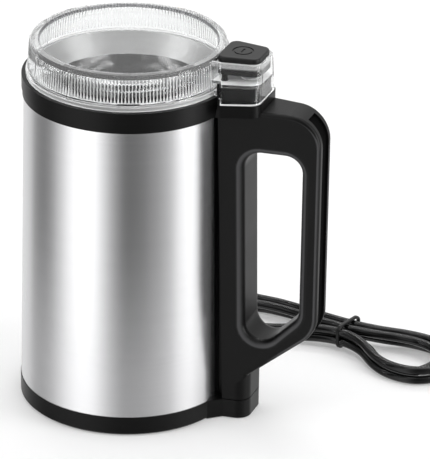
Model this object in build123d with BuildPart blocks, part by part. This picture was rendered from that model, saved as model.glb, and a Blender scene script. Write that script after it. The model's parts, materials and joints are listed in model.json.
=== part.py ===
# Electric coffee grinder: steel body with a loop handle, clear lid, push button and a hank of mains cord.
# Millimetres. Z is up, the origin is on the body axis at the floor, and the handle points along +X.
import math
import os

from build123d import *

os.makedirs("parts", exist_ok=True)

# Clearances shared by every piece
overrun = 1.0
seat_gap = 0.1
fit_gap = 0.15
press_gap = 0.02
run_gap = 0.05
air_gap = 0.4

# Body: base ring, steel sleeve and collar
body_radius = 50.15
ring_lift = 0.5
ring_height = 9.5
ring_wall = 2.95
ring_edge = 0.8
sleeve_height = 142.3
sleeve_inset = 0.25
sleeve_taper = 1.8
sleeve_wall = 0.7
spigot_height = 4.5
spigot_wall = 1.65
collar_height = 9.9
collar_lip = 0.5
collar_flare = 0.4
collar_line_width = 0.5
collar_line_depth = 0.35
collar_line_share = 0.3
block_length = 14.15
block_crease = 2.85
block_flare_half = 17.0
block_round = 6.5
sleeve_bottom_radius = body_radius - sleeve_inset
sleeve_top_radius = sleeve_bottom_radius - sleeve_taper
collar_low_radius = sleeve_top_radius + collar_lip
collar_high_radius = collar_low_radius + collar_flare
collar_bottom = ring_height + sleeve_height
collar_top = collar_bottom + collar_height
collar_line = collar_bottom + collar_height * collar_line_share
collar_spigot = sleeve_top_radius - sleeve_wall - fit_gap
ring_bore = body_radius - ring_wall
block_reach = body_radius + block_length
block_crease_x = body_radius + block_crease

# Base cover, foot pads and screws
cover_height = 2.4
pad_radius = 5.5
pad_height = 1.2
pad_inset = 9.0
pad_count = 4
vent_count = 16
vent_inner = 12.0
vent_inset = 12.0
vent_width = 2.6
base_screw_radius = 1.45
base_screw_length = 11.0
base_screw_head_radius = 3.0
base_screw_head_height = 1.3
base_screw_sink = 1.5
cover_radius = ring_bore - fit_gap
pad_circle = cover_radius - pad_inset

# Chassis that carries the motor and the cup
chassis_inset = 2.7
chassis_wall = 2.0
chassis_rise = 0.2
chassis_drop_share = 0.6
plate_height = 3.0
post_inset = 9.0
post_radius = 4.0
post_count = 4
hub_radius = 11.0
hub_drop = 5.0
chassis_radius = sleeve_top_radius - chassis_inset
chassis_top = collar_bottom + chassis_rise
post_circle = cover_radius - post_inset
vent_outer = post_circle - vent_inset

# Cup, liner, gasket and cushion
cup_inset = 8.0
cup_draft = 1.0
cup_depth = 48.2
cup_round = 9.0
cup_wall = 0.8
cup_rim_inset = 0.2
cup_rim_height = 0.9
gasket_height = 1.3
liner_step = 0.6
liner_inset = 1.9
liner_wall = 0.8
liner_rise = 1.7
cushion_inner = 14.0
cushion_outer = 22.0
cushion_height = 3.2
seal_radius = 6.0
seal_lip_radius = 8.0
seal_lip_height = 1.2
cup_radius = chassis_radius - cup_inset
cup_low_radius = cup_radius - cup_draft
cup_rim_radius = chassis_radius - cup_rim_inset
gasket_top = chassis_top + gasket_height
cup_rim = gasket_top + cup_rim_height
cup_floor = cup_rim - cup_depth
liner_low_radius = cup_radius + liner_step
liner_high_radius = chassis_radius - liner_inset
liner_outer = liner_high_radius + liner_wall
liner_top = collar_top + liner_rise
collar_bore = liner_outer + fit_gap
plate_top = cup_floor - cup_wall - cushion_height
plate_bottom = plate_top - plate_height
chassis_bottom = plate_bottom * chassis_drop_share

# Motor, placed between the base cover and the chassis plate
shaft_radius = 3.0
bush_radius = 6.5
bush_height = 9.0
core_gap = 4.0
core_trim = 4.0
core_round = 5.0
core_level_share = 0.586
core_height_share = 0.2424
core_bore_share = 0.3
coil_clear = 2.0
coil_depth = 4.0
coil_half_share = 0.88
coil_leg = 3.4
coil_end = 5.5
coil_round = 2.0
motor_screw_inset = 5.0
motor_screw_radius = 1.9
motor_screw_bite = 8.0
motor_screw_head_radius = 3.6
motor_screw_head_height = 2.4
motor_boss_radius = 4.5
bracket_level_share = 0.303
bracket_height = 4.0
bracket_round = 6.0
bracket_hub_radius = 10.0
bracket_hub_drop = 4.0
armature_gap = 0.6
armature_slots = 12
armature_slot_width = 2.0
armature_slot_depth = 4.0
winding_outer_share = 0.81
winding_inner_share = 0.4
winding_end = 6.0
winding_round_share = 0.2
commutator_share = 0.55
commutator_lift = 3.0
commutator_gap = 2.0
commutator_bars = 12
commutator_slit = 0.6
commutator_slit_depth = 1.2
brush_level_share = 0.54
brush_length_share = 0.8
brush_width = 5.0
brush_height = 6.0
holder_gap = 3.5
holder_inset = 2.5
holder_width = 9.0
holder_roof = 1.0
fan_inset = 2.0
fan_hub_radius = 7.0
fan_disc_height = 1.6
fan_level_share = 0.12
fan_gap = 8.0
fan_blades = 9
fan_blade_wall = 1.4
fan_blade_inner = 9.0
shaft_tail = 2.0
core_length = 2 * (post_circle - post_radius - core_gap)
core_width = core_length - core_trim
core_bore = core_width * core_bore_share
core_bottom = plate_bottom * core_level_share
core_height = plate_bottom * core_height_share
core_top = core_bottom + core_height
coil_near = core_bore + coil_clear
coil_half = core_bore * coil_half_share
motor_screw_x = core_length / 2 - motor_screw_inset
motor_screw_y = core_width / 2 - motor_screw_inset
bracket_bottom = plate_bottom * bracket_level_share
bracket_top = bracket_bottom + bracket_height
armature_radius = core_bore - armature_gap
winding_radius = armature_radius * winding_outer_share
winding_inner = armature_radius * winding_inner_share
commutator_radius = armature_radius * commutator_share
commutator_bottom = bracket_top + commutator_lift
commutator_height = core_bottom - winding_end - commutator_gap - commutator_bottom
brush_level = commutator_bottom + commutator_height * brush_level_share
brush_start = commutator_radius + air_gap
holder_near = commutator_radius + holder_gap
holder_length = core_length / 2 - holder_inset - holder_near
holder_height = brush_level + brush_height / 2 + holder_roof - bracket_top
brush_length = holder_length * brush_length_share
fan_radius = vent_outer - fan_inset
fan_bottom = plate_bottom * fan_level_share
fan_height = bracket_bottom - fan_gap - fan_bottom
shaft_bottom = fan_bottom - shaft_tail

# Blade and its cap
blade_lift = 5.5
blade_wall = 1.5
blade_inset = 6.4
blade_flat_share = 0.57
blade_rise = 5.5
blade_width = 13.0
blade_collar_radius = 6.0
blade_collar_height = 3.5
blade_cap_radius = 5.5
blade_cap_height = 6.5
blade_cap_round = 2.4
shaft_end = 7.0
blade_level = cup_floor + blade_lift
blade_tip = cup_low_radius - blade_inset
blade_flat = blade_tip * blade_flat_share
shaft_top = blade_level + shaft_end

# Lid
lid_flange_inset = 1.9
lid_flange_height = 1.8
lid_wall_inset = 1.1
lid_draft = 1.0
lid_height = 16.6
lid_skirt_gap = 0.35
lid_skirt_height = 2.6
lid_throat_inset = 2.1
lid_rim_width = 4.3
lid_roof_sink = 1.5
lid_roof_wall = 1.6
lid_edge = 0.6
rib_count = 12
rib_width = 1.8
rib_proud = 0.5
lid_flange_radius = collar_high_radius - lid_flange_inset
lid_low_radius = lid_flange_radius - lid_wall_inset
lid_high_radius = lid_low_radius - lid_draft
lid_skirt_inner = liner_outer + lid_skirt_gap
lid_throat_radius = lid_high_radius - lid_throat_inset
lid_rim_radius = lid_high_radius - lid_rim_width
lid_bottom = collar_top + seat_gap
lid_top = lid_bottom + lid_height
lid_roof = lid_top - lid_roof_sink
flange_top = lid_bottom + lid_flange_height

# Switch housing on the lid, and the boss below it
housing_length = 22.6
housing_low_neck_half = 11.0
housing_low_neck_along = 4.8
housing_low_side_half = 17.9
housing_low_side_along = 6.3
housing_low_outer_half = 12.2
housing_high_neck_half = 12.4
housing_high_neck_along = 3.0
housing_high_side_half = 12.8
housing_high_side_along = 4.2
housing_high_outer_half = 10.0
housing_corner = 5.5
housing_wall = 1.3
housing_height = 18.3
boss_rise = 2.7
boss_step = 1.4
boss_margin = 0.4
shelf_lift = 7.2
shelf_wall = 1.4
spring_cup_height = 4.0
spring_cup_wall = 0.8
housing_inner_x = lid_high_radius
housing_outer_x = housing_inner_x + housing_length
boss_bottom = collar_bottom + boss_rise
boss_top = collar_top - boss_step
housing_bottom = boss_top + seat_gap
housing_top = housing_bottom + housing_height
shelf_bottom = housing_bottom + shelf_lift
shelf_top = shelf_bottom + shelf_wall

# Button, its stems and the return spring, placed along X from the inner end of the housing
button_rise = 2.3
button_skirt = 8.5
button_wall = 1.6
button_cap_wall = 2.0
button_clear = 0.4
button_corner = 3.6
button_edge = 0.8
guide_along = 4.8
guide_y = 8.0
guide_radius = 1.4
plunger_along = 8.5
stem_radius = 1.5
stem_lift = 3.3
mark_radius = 4.9
mark_width = 0.9
mark_depth = 0.35
mark_along = 10.5
mark_bar = 4.6
spring_along = 14.6
spring_radius = 3.0
spring_wire = 0.35
spring_turns = 6
button_top = housing_top + button_rise
button_bottom = button_top - button_skirt
button_ceiling = button_top - button_cap_wall
guide_x = housing_inner_x + guide_along
plunger_x = housing_inner_x + plunger_along
mark_x = housing_inner_x + mark_along
spring_x = housing_inner_x + spring_along
spring_cup = spring_radius + spring_wire + fit_gap
stem_end = boss_top + stem_lift

# Switch cover, microswitch and plunger
switch_cover_height = 6.9
switch_cover_gap = 0.5
guide_hole_depth = 5.0
switch_length = 12.0
switch_width = 7.2
switch_height = 10.5
switch_drop = 11.8
switch_gap = 2.4
plunger_radius = 1.5
plunger_lift = 8.5
plunger_gap = 0.3
switch_bore_depth = 6.5
switch_cover_radius = lid_flange_radius + switch_cover_gap
switch_cover_top = boss_top + switch_cover_height
switch_inner_x = collar_high_radius + switch_gap
switch_floor = collar_bottom - switch_drop
switch_top = switch_floor + switch_height
plunger_bottom = switch_floor + plunger_lift

# Handle, with levels measured up from the base ring or down from its own top
handle_body_half = 12.2
handle_tip_half = 7.8
handle_bottom_gap = 0.4
handle_rise = 4.7
handle_reach = 45.85
handle_root = 10.15
handle_foot = 13.6
handle_knee_rise = 39.5
handle_shoulder_round = 15.0
handle_knee_round = 16.0
handle_edge = 2.0
foot_trim_drop = 0.3
spine_depth = 12.4
spine_lean = 2.2
spine_neck_half = 8.0
spine_low_proud = 2.6
spine_high_proud = 0.3
grip_edge = 4.0
grip_depth = 9.0
grip_top_drop = 20.8
grip_low_left_rise = 20.6
grip_low_right_rise = 46.0
grip_rounds = 8.0
groove_half = 4.2
groove_depth = 2.0
groove_top_drop = 2.2
groove_bottom_drop = 1.5
inlay_sink = 1.2
handle_screw_shares = (0.11, 0.78)
handle_screw_radius = 1.9
handle_screw_head_radius = 3.3
handle_screw_head_height = 1.5
handle_screw_cover = 2.4
handle_bottom = ring_height + handle_bottom_gap
handle_top = collar_bottom + handle_rise
handle_outer_x = body_radius + handle_reach
handle_inner_x = body_radius - handle_root
handle_foot_top = ring_height + handle_foot
handle_knee = ring_height + handle_knee_rise
grip_left = sleeve_bottom_radius + spine_depth
grip_left_top = grip_left - spine_lean
grip_right = handle_outer_x - grip_depth
grip_top = handle_top - grip_top_drop
grip_low_left = ring_height + grip_low_left_rise
grip_low_right = ring_height + grip_low_right_rise
groove_top = handle_top - groove_top_drop
groove_bottom = handle_knee - groove_bottom_drop
handle_screw_levels = [ring_height + sleeve_height * share for share in handle_screw_shares]
handle_screw_start = chassis_radius + air_gap
handle_screw_reach = grip_left_top - handle_screw_cover

# Mains cord, its relief, hank, tie and plug
cord_radius = 2.1
exit_angle = 130.0
exit_level = 5.2
relief_neck_radius = 3.2
relief_big_radius = 4.4
relief_small_radius = 2.9
relief_length = 20.0
relief_groove_count = 4
relief_groove_width = 1.4
relief_groove_depth = 0.7
hank_out_x = 32.15
hank_out_y = 31.85
hank_angle = -16.3
left_angle = -3.0
cord_rest = 0.15
layer_step = 4.9
waist_step = 5.5
waist_lift = 2.1
right_outer_reach = 40.0
right_outer = 17.2
right_inner_reach = 38.5
right_inner = 11.4
left_reach = 50.0
left_outer = 14.8
left_inner = 9.1
tie_width = 2.0
tie_wall = 1.3
tie_gap = 0.35
tie_round = 3.6
tie_edge = 0.6
plug_length = 36.0
plug_back_width = 11.0
plug_back_height = 10.0
plug_front_width = 26.0
plug_front_height = 17.0
plug_round = 4.0
plug_rest = 0.2
pin_width = 6.3
pin_wall = 1.5
pin_length = 16.0
pin_pitch = 12.7
hank_x = body_radius + hank_out_x
hank_y = body_radius + hank_out_y
relief_end = body_radius + relief_length
plug_level = plug_front_height / 2 + plug_rest
# Corners of the cord from relief to hank: distance out from the ring, angle in degrees, share of the drop
lead_first_run = 14.2
lead_last_run = 22.0
lead_outs = (45.49, 49.85, 46.15)
lead_angles = (124.5, 116.2, 108.6)
lead_drop_shares = (0.3, 0.6, 0.9)
# Runs of the cord from hank to plug, the turn at each corner in degrees, and its sag between them
tail_runs = (12.0, 16.0, 16.0, 12.0)
tail_turn = 3.0
tail_sag = 1.4
# A corner's radius takes up this share of the shorter run beside it
corner_share = 0.45
# Two directions count as parallel when their spread is below this share
parallel_share = 1e-6
# Points measured along a wound tube, in wire radii apart
measure_step_share = 0.5
measure_skip_share = 8.0


def sleeve_radius(level):
    """Outside radius of the steel sleeve at a height."""
    share = (level - ring_height) / sleeve_height
    return sleeve_bottom_radius + (sleeve_top_radius - sleeve_bottom_radius) * share


def housing_size(low_size, high_size, level):
    """A size of the switch housing at a height, from its sizes at the bottom and the top."""
    return low_size + (high_size - low_size) * (level - housing_bottom) / housing_height


def wedge(level, inset, shape_level):
    """Outline of the switch housing at shape_level, drawn in by inset and laid at a height."""
    neck = housing_size(housing_low_neck_half, housing_high_neck_half, shape_level) - inset
    side = housing_size(housing_low_side_half, housing_high_side_half, shape_level) - inset
    outer = housing_size(housing_low_outer_half, housing_high_outer_half, shape_level) - inset
    neck_x = housing_inner_x + housing_size(housing_low_neck_along, housing_high_neck_along, shape_level)
    side_x = housing_inner_x + housing_size(housing_low_side_along, housing_high_side_along, shape_level)
    reach = housing_outer_x - inset
    with BuildSketch(Plane.XY.offset(level)) as outline:
        Polygon(
            (housing_inner_x, -neck),
            (neck_x, -neck),
            (side_x, -side),
            (reach, -outer),
            (reach, outer),
            (side_x, side),
            (neck_x, neck),
            (housing_inner_x, neck),
            align=None,
        )
        fillet(outline.vertices().group_by(Axis.X)[-1], housing_corner - inset / 2)
    return outline.sketch


def cap_outline(level, inset):
    """Outline of the button, drawn in by inset from its outside and laid at a height."""
    inner = housing_high_side_half - housing_wall - air_gap - inset
    outer = housing_high_outer_half - housing_wall - air_gap - inset
    near_x = lid_low_radius + button_clear + inset
    far_x = housing_outer_x - housing_wall - air_gap - inset
    with BuildSketch(Plane.XY.offset(level)) as outline:
        Polygon((near_x, -inner), (far_x, -outer), (far_x, outer), (near_x, inner), align=None)
        fillet(outline.vertices(), button_corner - inset / 2)
    return outline.sketch


def side_half(distance):
    """Half-width of the handle, and of the block under it, at a distance from the axis."""
    share = (distance - body_radius) / handle_reach
    return handle_body_half + (handle_tip_half - handle_body_half) * share


def handle_plan(level, far_x):
    """Tapered outline of the handle from above, out to a distance from the axis."""
    near = side_half(handle_inner_x)
    far = side_half(far_x)
    with BuildSketch(Plane.XY.offset(level)) as outline:
        Polygon((handle_inner_x, -near), (far_x, -far), (far_x, far), (handle_inner_x, near), align=None)
    return outline.sketch


def drum(radius, bottom, top, mode=Mode.ADD, at=(0, 0)):
    """Upright cylinder between two heights."""
    with Locations((at[0], at[1], bottom)):
        Cylinder(radius, top - bottom, align=(Align.CENTER, Align.CENTER, Align.MIN), mode=mode)


def turned(points, mode=Mode.ADD):
    """Solid of revolution about Z from an outline of radius and height pairs."""
    with BuildSketch(Plane.XZ) as outline:
        Polygon(*points, align=None)
    revolve(outline.sketch, axis=Axis.Z, mode=mode)


def tube_ring(outer, inner, bottom, top):
    """Upright ring between two heights."""
    turned([(inner, bottom), (outer, bottom), (outer, top), (inner, top)])


def around(count, radius, first=0.0):
    """Points spread evenly on a circle about the axis."""
    turns = [math.radians(first + step * 360 / count) for step in range(count)]
    return [(radius * math.cos(turn), radius * math.sin(turn)) for turn in turns]


def biarcs(stations):
    """Tangent arcs, two between each pair of stations, each a point with its direction of travel."""
    for (start, start_way), (end, end_way) in zip(stations, stations[1:]):
        span = end - start
        along = span.dot(start_way + end_way)
        spread = 2 * (1 - start_way.dot(end_way))
        if spread < parallel_share:
            reach = span.dot(span) / (2 * along)
        else:
            reach = (math.sqrt(along**2 + spread * span.dot(span)) - along) / spread
        near = start + start_way * reach
        far = end - end_way * reach
        middle = (near + far) / 2
        TangentArc(start, middle, tangent=start_way)
        TangentArc(middle, end, tangent=far - near)


def corner_radii(points):
    """Radius for each inner corner of a route, from its shorter run and its turn."""
    radii = []
    for before, corner, after in zip(points, points[1:], points[2:]):
        run_in = corner - before
        run_out = after - corner
        half_turn = math.radians(run_in.get_angle(run_out)) / 2
        radii.append(corner_share * min(run_in.length, run_out.length) / math.tan(half_turn))
    return radii


def least_gap(path, radius):
    """Smallest gap between passes of a wound tube, measured on points along its middle."""
    count = int(path.length / (radius * measure_step_share))
    points = [tuple(path.position_at(step / count)) for step in range(count + 1)]
    skip = int(measure_skip_share / measure_step_share)
    nearest = min(
        math.dist(point, other)
        for place, point in enumerate(points)
        for other in points[place + skip:]
    )
    return nearest - 2 * radius


# Base ring with the block that the handle stands on
with BuildPart() as base_ring:
    turned(
        [
            (ring_bore, ring_lift),
            (body_radius - ring_edge, ring_lift),
            (body_radius, ring_lift + ring_edge),
            (body_radius, ring_height),
            (ring_bore + spigot_wall, ring_height),
            (ring_bore + spigot_wall, ring_height + spigot_height),
            (ring_bore, ring_height + spigot_height),
        ]
    )
    flare_x = math.sqrt(body_radius**2 - block_flare_half**2)
    crease_half = side_half(block_crease_x)
    with BuildSketch(Plane.XY.offset(ring_lift)) as block:
        add(handle_plan(ring_lift, block_reach))
        fillet(block.vertices().group_by(Axis.X)[-1], block_round)
        Polygon(
            (handle_inner_x, -block_flare_half),
            (flare_x, -block_flare_half),
            (block_crease_x, -crease_half),
            (block_crease_x, crease_half),
            (flare_x, block_flare_half),
            (handle_inner_x, block_flare_half),
            align=None,
        )
    extrude(amount=ring_height - ring_lift)
    drum(ring_bore, ring_lift - overrun, ring_height + overrun, Mode.SUBTRACT)
    exit_way = Vector(math.cos(math.radians(exit_angle)), math.sin(math.radians(exit_angle)), 0)
    exit_plane = Plane(origin=exit_way * (ring_bore - overrun) + Vector(0, 0, exit_level), z_dir=exit_way)
    with BuildSketch(exit_plane):
        Circle(relief_neck_radius + press_gap)
    extrude(amount=ring_wall + 2 * overrun, mode=Mode.SUBTRACT)
base_ring.part.label = "base_ring"
export_step(base_ring.part, "parts/base_ring.step")

# Base cover with vents, screw holes and pockets for the pads
with BuildPart() as base_cover:
    drum(cover_radius, 0, cover_height)
    with BuildSketch():
        with PolarLocations((vent_inner + vent_outer) / 2, vent_count):
            SlotOverall(vent_outer - vent_inner, vent_width)
    extrude(amount=cover_height, mode=Mode.SUBTRACT)
    for spot in around(post_count, post_circle):
        drum(base_screw_radius + fit_gap, -overrun, cover_height + overrun, Mode.SUBTRACT, spot)
        drum(base_screw_head_radius + fit_gap, -overrun, base_screw_sink, Mode.SUBTRACT, spot)
    for spot in around(pad_count, pad_circle, 180 / pad_count):
        drum(pad_radius + fit_gap, -overrun, pad_height, Mode.SUBTRACT, spot)
base_cover.part.label = "base_cover"
export_step(base_cover.part, "parts/base_cover.step")

with BuildPart() as foot_pads:
    for spot in around(pad_count, pad_circle, 180 / pad_count):
        drum(pad_radius, 0, pad_height, at=spot)
foot_pads.part.label = "foot_pads"
export_step(foot_pads.part, "parts/foot_pads.step")

with BuildPart() as base_screws:
    for spot in around(post_count, post_circle):
        drum(base_screw_head_radius, base_screw_sink - base_screw_head_height, base_screw_sink, at=spot)
        drum(base_screw_radius, base_screw_sink, base_screw_sink + base_screw_length, at=spot)
base_screws.part.label = "base_screws"
export_step(base_screws.part, "parts/base_screws.step")

# Steel sleeve between ring and collar
with BuildPart() as steel_sleeve:
    turned(
        [
            (sleeve_bottom_radius - sleeve_wall, ring_height),
            (sleeve_bottom_radius, ring_height),
            (sleeve_top_radius, collar_bottom),
            (sleeve_top_radius - sleeve_wall, collar_bottom),
        ]
    )
    for level in handle_screw_levels:
        with BuildSketch(Plane.YZ.offset(handle_screw_start)):
            with Locations((0, level)):
                Circle(handle_screw_radius + fit_gap)
        extrude(amount=handle_screw_reach - handle_screw_start, mode=Mode.SUBTRACT)
steel_sleeve.part.label = "steel_sleeve"
export_step(steel_sleeve.part, "parts/steel_sleeve.step")

# Collar ring with the boss under the switch housing
with BuildPart() as collar_ring:
    turned(
        [
            (chassis_radius + fit_gap, collar_bottom - spigot_height),
            (collar_spigot, collar_bottom - spigot_height),
            (collar_spigot, collar_bottom),
            (collar_low_radius, collar_bottom),
            (collar_low_radius, collar_line),
            (collar_high_radius - collar_line_depth, collar_line),
            (collar_high_radius - collar_line_depth, collar_line + collar_line_width),
            (collar_high_radius, collar_line + collar_line_width),
            (collar_high_radius, collar_top),
            (collar_bore, collar_top),
            (collar_bore, cup_rim),
            (chassis_radius + fit_gap, cup_rim),
        ]
    )
    extrude(wedge(boss_bottom, -boss_margin, housing_bottom), amount=boss_top - boss_bottom)
    drum(collar_bore, cup_rim, collar_top + overrun, Mode.SUBTRACT)
    drum(plunger_radius + air_gap, boss_bottom - overrun, boss_top + overrun, Mode.SUBTRACT, (plunger_x, 0))
collar_ring.part.label = "collar_ring"
export_step(collar_ring.part, "parts/collar_ring.step")

# Chassis: tube, plate, posts down to the cover and bosses down to the motor
motor_spots = [(x, y) for x in (-motor_screw_x, motor_screw_x) for y in (-motor_screw_y, motor_screw_y)]
with BuildPart() as chassis:
    tube_ring(chassis_radius, chassis_radius - chassis_wall, chassis_bottom, chassis_top)
    drum(chassis_radius - chassis_wall / 2, plate_bottom, plate_top)
    drum(hub_radius, plate_bottom - hub_drop, plate_bottom)
    drum(bush_radius + press_gap, plate_bottom - hub_drop - overrun, plate_top + overrun, Mode.SUBTRACT)
    for spot in around(post_count, post_circle):
        drum(post_radius, cover_height, plate_bottom, at=spot)
        screw_end = base_screw_sink + base_screw_length + overrun
        drum(base_screw_radius + press_gap, cover_height - overrun, screw_end, Mode.SUBTRACT, spot)
    for spot in motor_spots:
        drum(motor_boss_radius, core_top, plate_bottom, at=spot)
        drum(motor_screw_radius + press_gap, core_top, core_top + motor_screw_bite, Mode.SUBTRACT, spot)
chassis.part.label = "chassis"
export_step(chassis.part, "parts/chassis.step")

# Gasket under the cup rim and cushion under the cup floor
with BuildPart() as cup_gasket:
    tube_ring(cup_rim_radius, chassis_radius - chassis_wall, chassis_top, gasket_top)
cup_gasket.part.label = "cup_gasket"
export_step(cup_gasket.part, "parts/cup_gasket.step")

with BuildPart() as cup_cushion:
    tube_ring(cushion_outer, cushion_inner, plate_top, cup_floor - cup_wall)
cup_cushion.part.label = "cup_cushion"
export_step(cup_cushion.part, "parts/cup_cushion.step")

# Grinding cup: an even wall with a round bottom corner and a flat rim
with BuildPart() as grinding_cup:
    with BuildSketch(Plane.XZ) as cup_section:
        Polygon(
            (seal_radius + press_gap, cup_floor - cup_wall),
            (cup_low_radius + cup_wall, cup_floor - cup_wall),
            (cup_radius + cup_wall, cup_rim),
            (cup_radius, cup_rim),
            (cup_low_radius, cup_floor),
            (seal_radius + press_gap, cup_floor),
            align=None,
        )
        for sink in (0, cup_wall):
            low_corner = (cup_low_radius + sink, cup_floor - sink)
            fillet(cup_section.vertices().sort_by_distance(low_corner)[0], cup_round + sink)
    revolve(axis=Axis.Z)
    tube_ring(cup_rim_radius, cup_radius + cup_wall / 2, gasket_top, cup_rim)
grinding_cup.part.label = "grinding_cup"
export_step(grinding_cup.part, "parts/grinding_cup.step")

with BuildPart() as bowl_liner:
    turned(
        [
            (liner_low_radius, cup_rim),
            (liner_low_radius + liner_wall, cup_rim),
            (liner_outer, liner_top - liner_wall),
            (liner_outer, liner_top),
            (liner_high_radius, liner_top),
        ]
    )
bowl_liner.part.label = "bowl_liner"
export_step(bowl_liner.part, "parts/bowl_liner.step")

with BuildPart() as shaft_seal:
    drum(seal_radius, cup_floor - cup_wall, cup_floor)
    drum(seal_lip_radius, cup_floor, cup_floor + seal_lip_height)
    drum(shaft_radius + run_gap, cup_floor - overrun, cup_floor + seal_lip_height + overrun, Mode.SUBTRACT)
shaft_seal.part.label = "shaft_seal"
export_step(shaft_seal.part, "parts/shaft_seal.step")

# Bushes that carry the shaft
with BuildPart() as upper_bush:
    tube_ring(bush_radius, shaft_radius + run_gap, plate_top - bush_height, plate_top)
upper_bush.part.label = "upper_bush"
export_step(upper_bush.part, "parts/upper_bush.step")

with BuildPart() as lower_bush:
    tube_ring(bush_radius, shaft_radius + run_gap, bracket_top - bush_height, bracket_top)
lower_bush.part.label = "lower_bush"
export_step(lower_bush.part, "parts/lower_bush.step")

# Stator core with windows for the field coils
with BuildPart() as stator_core:
    with BuildSketch(Plane.XY.offset(core_bottom)):
        RectangleRounded(core_length, core_width, core_round)
        Circle(core_bore, mode=Mode.SUBTRACT)
        window_x = coil_half - coil_leg / 2
        window_y = coil_near + coil_depth / 2
        with Locations(*[(x, y) for x in (-window_x, window_x) for y in (-window_y, window_y)]):
            Rectangle(coil_leg + 2 * fit_gap, coil_depth + 2 * fit_gap, mode=Mode.SUBTRACT)
        with Locations(*motor_spots):
            Circle(motor_screw_radius + fit_gap, mode=Mode.SUBTRACT)
    extrude(amount=core_height)
stator_core.part.label = "stator_core"
export_step(stator_core.part, "parts/stator_core.step")

with BuildPart() as field_coils:
    for side in (-1, 1):
        near_face = side * coil_near
        with BuildSketch(Plane.XZ.offset(-near_face)):
            with Locations((0, core_bottom + core_height / 2)):
                RectangleRounded(2 * coil_half, core_height + 2 * coil_end, coil_round)
                Rectangle(2 * (coil_half - coil_leg), core_height + 2 * fit_gap, mode=Mode.SUBTRACT)
        extrude(amount=-side * coil_depth)
field_coils.part.label = "field_coils"
export_step(field_coils.part, "parts/field_coils.step")

# Lower bracket: plate, hub for the bush and spacers up to the core
with BuildPart() as lower_bracket:
    with BuildSketch(Plane.XY.offset(bracket_bottom)):
        RectangleRounded(core_length, core_width, bracket_round)
    extrude(amount=bracket_height)
    drum(bracket_hub_radius, bracket_bottom - bracket_hub_drop, bracket_bottom)
    for spot in motor_spots:
        drum(motor_boss_radius, bracket_top, core_bottom, at=spot)
        screw_way = (bracket_bottom - overrun, core_bottom + overrun)
        drum(motor_screw_radius + fit_gap, *screw_way, Mode.SUBTRACT, spot)
    drum(bush_radius + press_gap, bracket_bottom - bush_height, bracket_top + overrun, Mode.SUBTRACT)
lower_bracket.part.label = "lower_bracket"
export_step(lower_bracket.part, "parts/lower_bracket.step")

with BuildPart() as motor_screws:
    for spot in motor_spots:
        drum(motor_screw_head_radius, bracket_bottom - motor_screw_head_height, bracket_bottom, at=spot)
        drum(motor_screw_radius, bracket_bottom, core_top + motor_screw_bite - overrun, at=spot)
motor_screws.part.label = "motor_screws"
export_step(motor_screws.part, "parts/motor_screws.step")

# Brush holders standing on the bracket, with a channel for each brush
with BuildPart() as brush_holders:
    for side in (-1, 1):
        with Locations((side * (holder_near + holder_length / 2), 0, bracket_top)):
            Box(holder_length, holder_width, holder_height, align=(Align.CENTER, Align.CENTER, Align.MIN))
        with Locations((side * (brush_start + brush_length / 2), 0, brush_level)):
            Box(brush_length + fit_gap, brush_width + fit_gap, brush_height + fit_gap, mode=Mode.SUBTRACT)
brush_holders.part.label = "brush_holders"
export_step(brush_holders.part, "parts/brush_holders.step")

with BuildPart() as carbon_brushes:
    for side in (-1, 1):
        with Locations((side * (brush_start + brush_length / 2), 0, brush_level)):
            Box(brush_length, brush_width, brush_height)
carbon_brushes.part.label = "carbon_brushes"
export_step(carbon_brushes.part, "parts/carbon_brushes.step")

# Rotor: shaft, armature, winding, commutator and fan
with BuildPart() as motor_shaft:
    drum(shaft_radius, shaft_bottom, shaft_top)
motor_shaft.part.label = "motor_shaft"
export_step(motor_shaft.part, "parts/motor_shaft.step")

with BuildPart() as armature_core:
    tube_ring(armature_radius, shaft_radius + press_gap, core_bottom, core_top)
    with BuildSketch(Plane.XY.offset(core_bottom)):
        with PolarLocations(armature_radius - armature_slot_depth / 2, armature_slots):
            Rectangle(armature_slot_depth + fit_gap, armature_slot_width)
    extrude(amount=core_height, mode=Mode.SUBTRACT)
armature_core.part.label = "armature_core"
export_step(armature_core.part, "parts/armature_core.step")

with BuildPart() as armature_winding:
    for bottom in (core_bottom - winding_end, core_top):
        tube_ring(winding_radius, winding_inner, bottom, bottom + winding_end)
    outer_rims = armature_winding.edges().filter_by(GeomType.CIRCLE).group_by(SortBy.RADIUS)[-1]
    rim_levels = outer_rims.group_by(Axis.Z)
    fillet(rim_levels[0] + rim_levels[-1], armature_radius * winding_round_share)
armature_winding.part.label = "armature_winding"
export_step(armature_winding.part, "parts/armature_winding.step")

with BuildPart() as commutator:
    commutator_top = commutator_bottom + commutator_height
    tube_ring(commutator_radius, shaft_radius + press_gap, commutator_bottom, commutator_top)
    with BuildSketch(Plane.XY.offset(commutator_bottom)):
        with PolarLocations(commutator_radius - commutator_slit_depth / 2, commutator_bars):
            Rectangle(commutator_slit_depth + fit_gap, commutator_slit)
    extrude(amount=commutator_height, mode=Mode.SUBTRACT)
commutator.part.label = "commutator"
export_step(commutator.part, "parts/commutator.step")

with BuildPart() as cooling_fan:
    drum(fan_radius, fan_bottom + fan_height - fan_disc_height, fan_bottom + fan_height)
    drum(fan_hub_radius, fan_bottom, fan_bottom + fan_height)
    with BuildSketch(Plane.XY.offset(fan_bottom)):
        with PolarLocations((fan_blade_inner + fan_radius) / 2, fan_blades):
            Rectangle(fan_radius - fan_blade_inner, fan_blade_wall)
    extrude(amount=fan_height - fan_disc_height)
    drum(shaft_radius + press_gap, fan_bottom - overrun, fan_bottom + fan_height + overrun, Mode.SUBTRACT)
cooling_fan.part.label = "cooling_fan"
export_step(cooling_fan.part, "parts/cooling_fan.step")

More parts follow.
